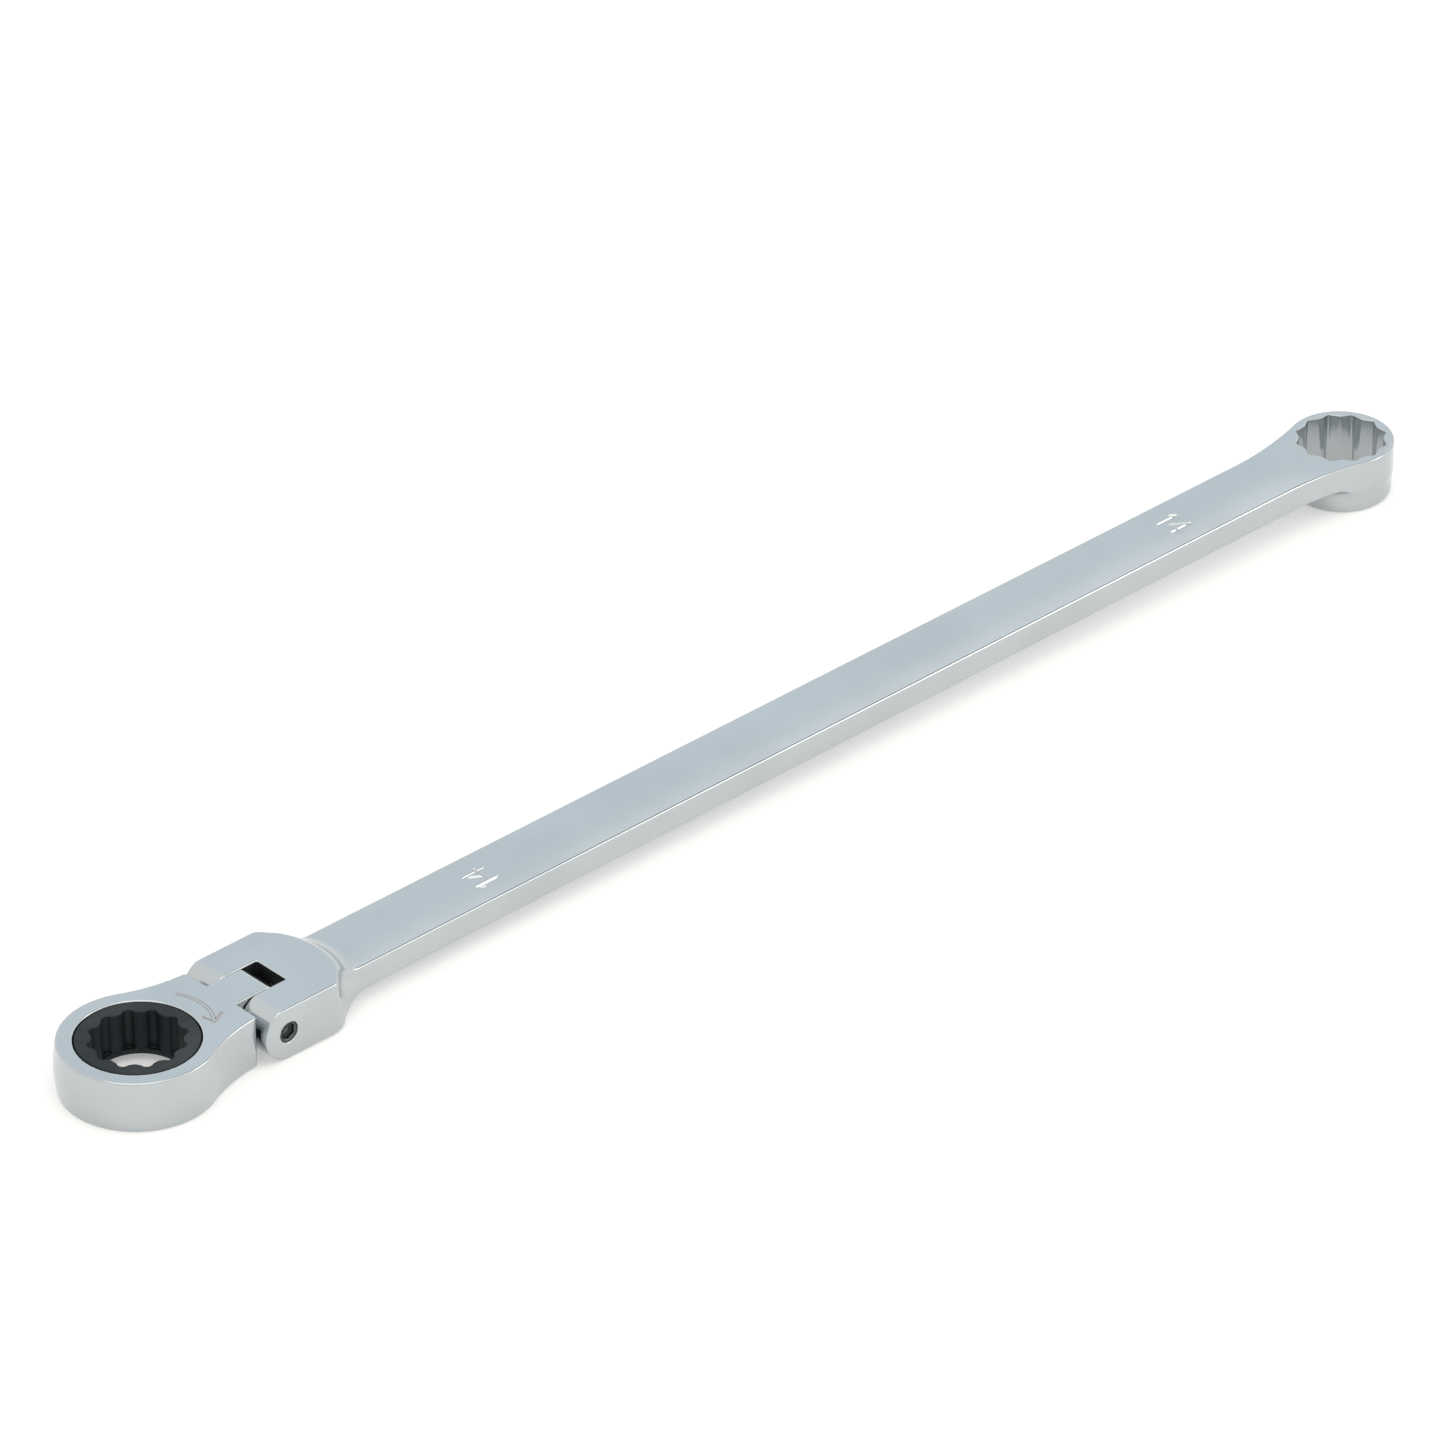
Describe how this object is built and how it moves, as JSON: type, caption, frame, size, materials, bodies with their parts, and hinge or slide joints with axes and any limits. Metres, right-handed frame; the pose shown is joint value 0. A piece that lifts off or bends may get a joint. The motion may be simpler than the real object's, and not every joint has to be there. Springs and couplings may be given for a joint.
{
  "type": "flex-head ratcheting ring wrench",
  "caption": "Long slim wrench with a flexing ratchet ring head at one end and a plain offset ring at the other, both with twelve-point openings.",
  "frame": {"origin": "centre of the ratchet opening, half way through the head's thickness", "axes": "+X along the handle from the ratchet head to the fixed ring, +Z out of the head's marked face along the opening's axis, +Y to the left of +X"},
  "size_m": [0.2994, 0.0272, 0.0126],
  "materials": {
    "chrome_steel": "satin bright chrome plate",
    "black_oxide_steel": "dark phosphate, lightly oiled",
    "hardened_steel": "ground",
    "spring_steel": "drawn wire"
  },
  "bodies": {
    "handle": {"handle": "chrome_steel", "pivot_screw": "black_oxide_steel", "friction_plunger": "hardened_steel", "friction_spring": "spring_steel"},
    "head": {"ratchet_head": "chrome_steel", "retaining_ring": "black_oxide_steel", "pawl_spring": "spring_steel"},
    "gear": {"drive_gear": "black_oxide_steel"},
    "pawl": {"pawl": "hardened_steel"}
  },
  "joints": [
    {"name": "head_flex", "type": "hinge", "parent": "handle", "child": "head", "pos_m": [0.0229, 0, 0], "axis": [0, 1, 0], "range_deg": [-90, 90]},
    {"name": "ratchet_spin", "type": "hinge", "parent": "head", "child": "gear", "pos_m": [0, 0, 0], "axis": [0, 0, -1], "continuous": true},
    {"name": "pawl_slide", "type": "slide", "parent": "head", "child": "pawl", "axis": [1, 0, 0], "range_m": [0, 0.0006], "stiffness_N_per_m": 400, "springref_m": -0.002, "deforming": ["pawl_spring"]}
  ]
}
